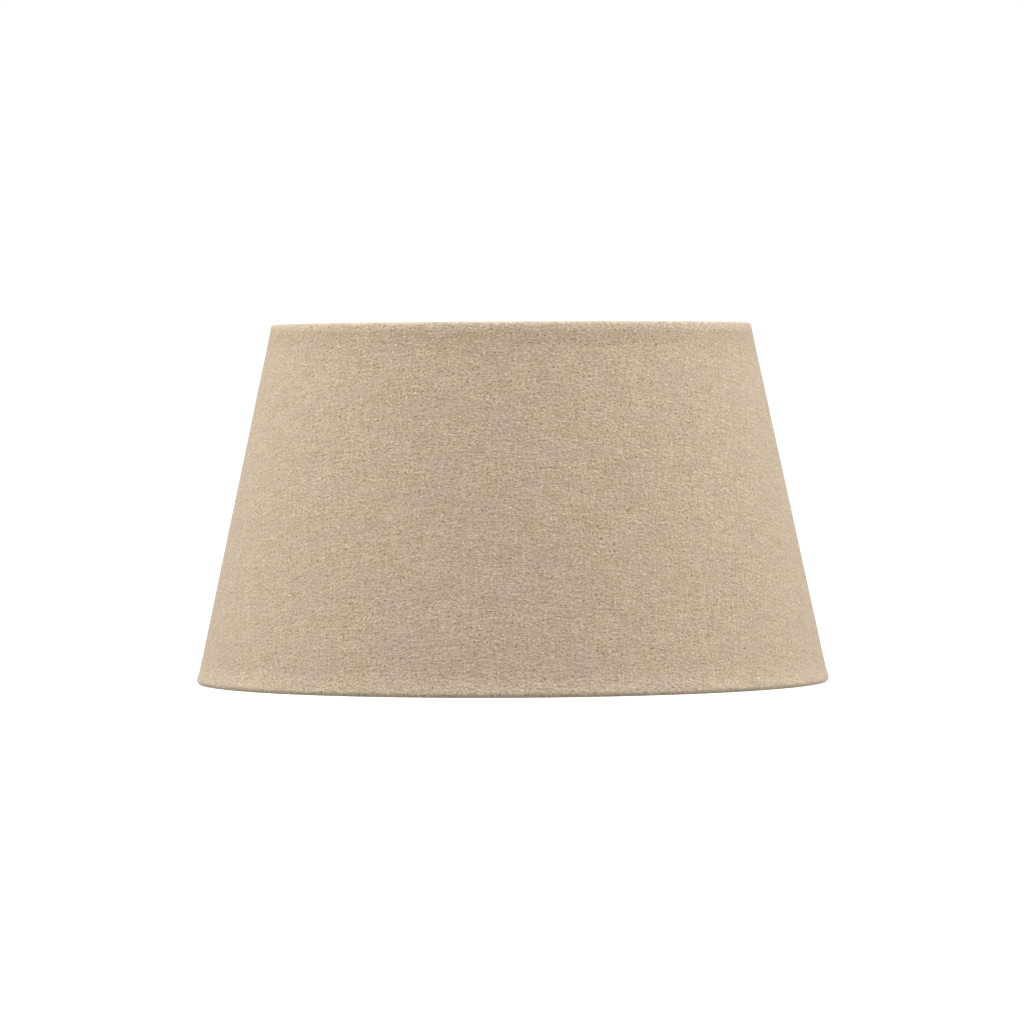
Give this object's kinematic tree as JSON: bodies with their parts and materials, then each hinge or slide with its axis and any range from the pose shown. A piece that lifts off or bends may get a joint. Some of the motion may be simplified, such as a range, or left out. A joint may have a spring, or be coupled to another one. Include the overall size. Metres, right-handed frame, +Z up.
{
  "type": "lamp shade",
  "caption": "Tapered drum lamp shade: rolled-edge linen on a stiff liner and wire rings, with spider arms and a reversible gimbal that carries the lampholder ring.",
  "frame": {"origin": "centre of the bottom rim, on the surface that the shade stands on", "axes": "+Z up along the shade's axis; front towards -Y, the seam at the back towards +Y; the gimbal turns about X"},
  "size_m": [0.4, 0.4003, 0.2266],
  "materials": {
    "linen": "matte",
    "styrene": "satin",
    "tape": "matte",
    "white_enamel": "gloss",
    "rivet_steel": "satin",
    "washer_steel": "satin",
    "white_nylon": "satin"
  },
  "bodies": {
    "shade": {"linen_cover": "linen", "styrene_liner": "styrene", "seam_tape": "tape", "top_ring_tape": "tape", "bottom_ring_tape": "tape", "top_ring": "white_enamel", "bottom_ring": "white_enamel", "spider_arm_back": "white_enamel", "spider_arm_left": "white_enamel", "spider_arm_right": "white_enamel", "gimbal_hoop": "white_enamel", "pivot_rivet_left": "rivet_steel", "pivot_rivet_right": "rivet_steel", "backing_washer_left": "washer_steel", "backing_washer_right": "washer_steel"},
    "gimbal": {"gimbal_leg_left": "white_enamel", "gimbal_leg_right": "white_enamel", "friction_washer_left": "washer_steel", "friction_washer_right": "washer_steel", "lampholder_ring": "white_enamel"},
    "reducer": {"reducer_ring": "white_nylon"}
  },
  "joints": [
    {"name": "gimbal_flip", "type": "hinge", "parent": "shade", "child": "gimbal", "pos_m": [0, 0, 0.18427], "axis": [-1, 0, 0], "range_deg": [0, 180]},
    {"name": "reducer_lift", "type": "slide", "parent": "gimbal", "child": "reducer", "axis": [0, 0, 1], "range_m": [0, 0.085]}
  ]
}
